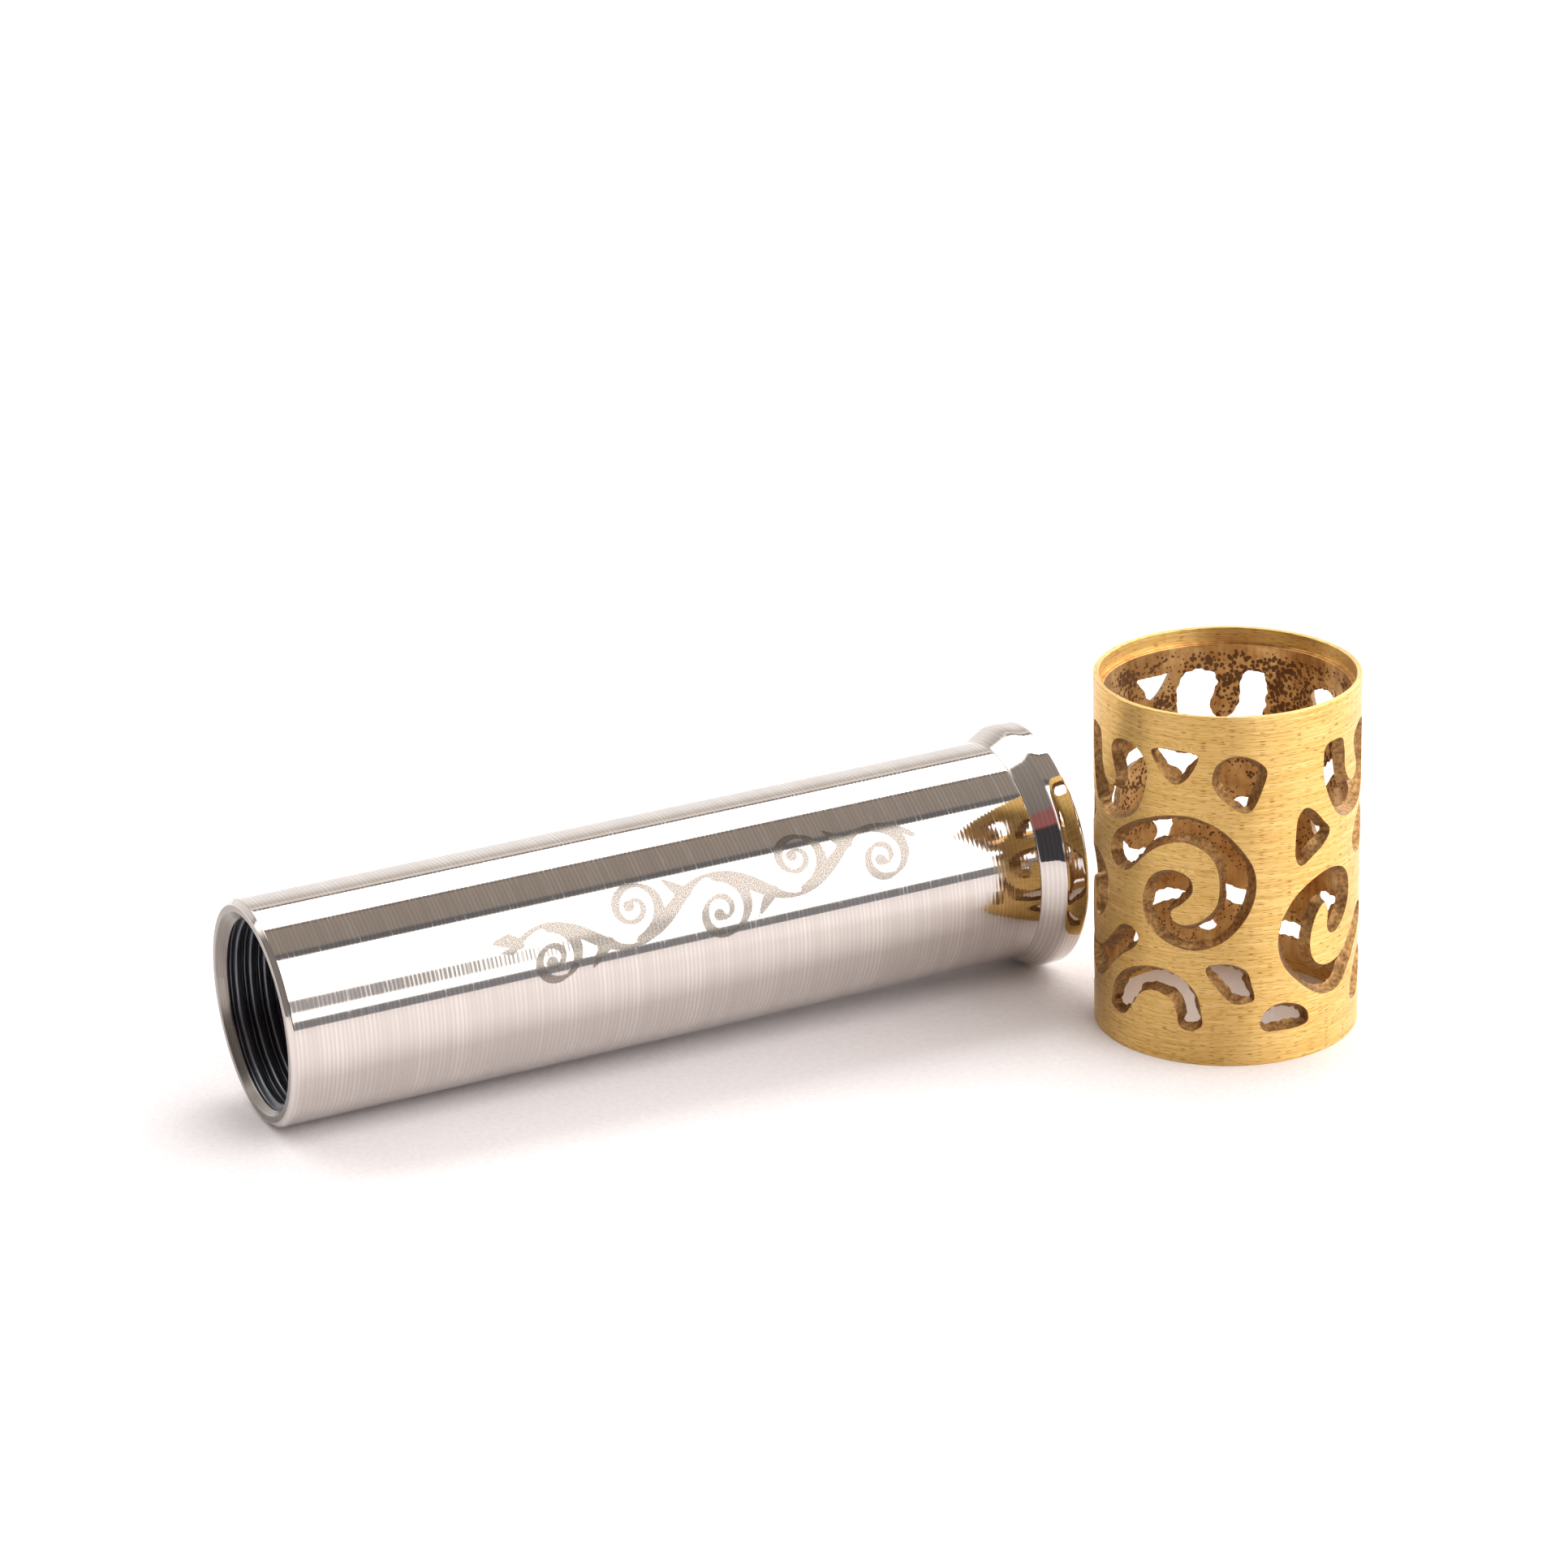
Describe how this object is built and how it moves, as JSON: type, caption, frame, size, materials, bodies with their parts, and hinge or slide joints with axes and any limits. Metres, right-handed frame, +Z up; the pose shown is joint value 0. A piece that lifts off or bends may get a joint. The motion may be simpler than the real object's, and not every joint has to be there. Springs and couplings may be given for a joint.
{
  "type": "screw capsule with pierced sleeve",
  "caption": "Steel screw capsule with an open threaded mouth and a flared screw-in end cap, beside the pierced brass sleeve that slides over it; holds a small rolled note.",
  "frame": {"origin": "on the sleeve's axis, at its lower end, on the table", "axes": "+Z up along the standing sleeve's axis, +X from the lying capsule's open mouth to its flared cap, seen from above; the capsule's own axis rises 0.922 degrees towards the cap"},
  "size_m": [0.111, 0.0492, 0.0374],
  "materials": {
    "polished_steel": "turned and mirror polished",
    "nitrile_rubber": "matte",
    "brass": "fine brushed outside, etched windows"
  },
  "bodies": {
    "cap": {"flared_cap": "polished_steel"},
    "ring": {"seal_ring": "nitrile_rubber"},
    "barrel": {"barrel": "polished_steel"},
    "sleeve": {"pierced_sleeve": "brass"}
  },
  "joints": [
    {"name": "barrel_turn", "type": "hinge", "parent": "cap", "child": "ring", "pos_m": [-0.01534, 0.02283, 0.01286], "axis": [-0.9999, 0, -0.0161], "range_deg": [0, 2160]},
    {"name": "barrel_travel", "type": "slide", "parent": "ring", "child": "barrel", "axis": [-0.9999, 0, -0.0161], "range_m": [0, 0.0092]},
    {"name": "sleeve_lift", "type": "slide", "parent": "cap", "child": "sleeve", "axis": [0, 0, 1], "range_m": [0, 0.04]}
  ],
  "couplings": [
    {"joint": "barrel_travel", "follows": "barrel_turn", "m_per_rad": 0.0002387}
  ]
}
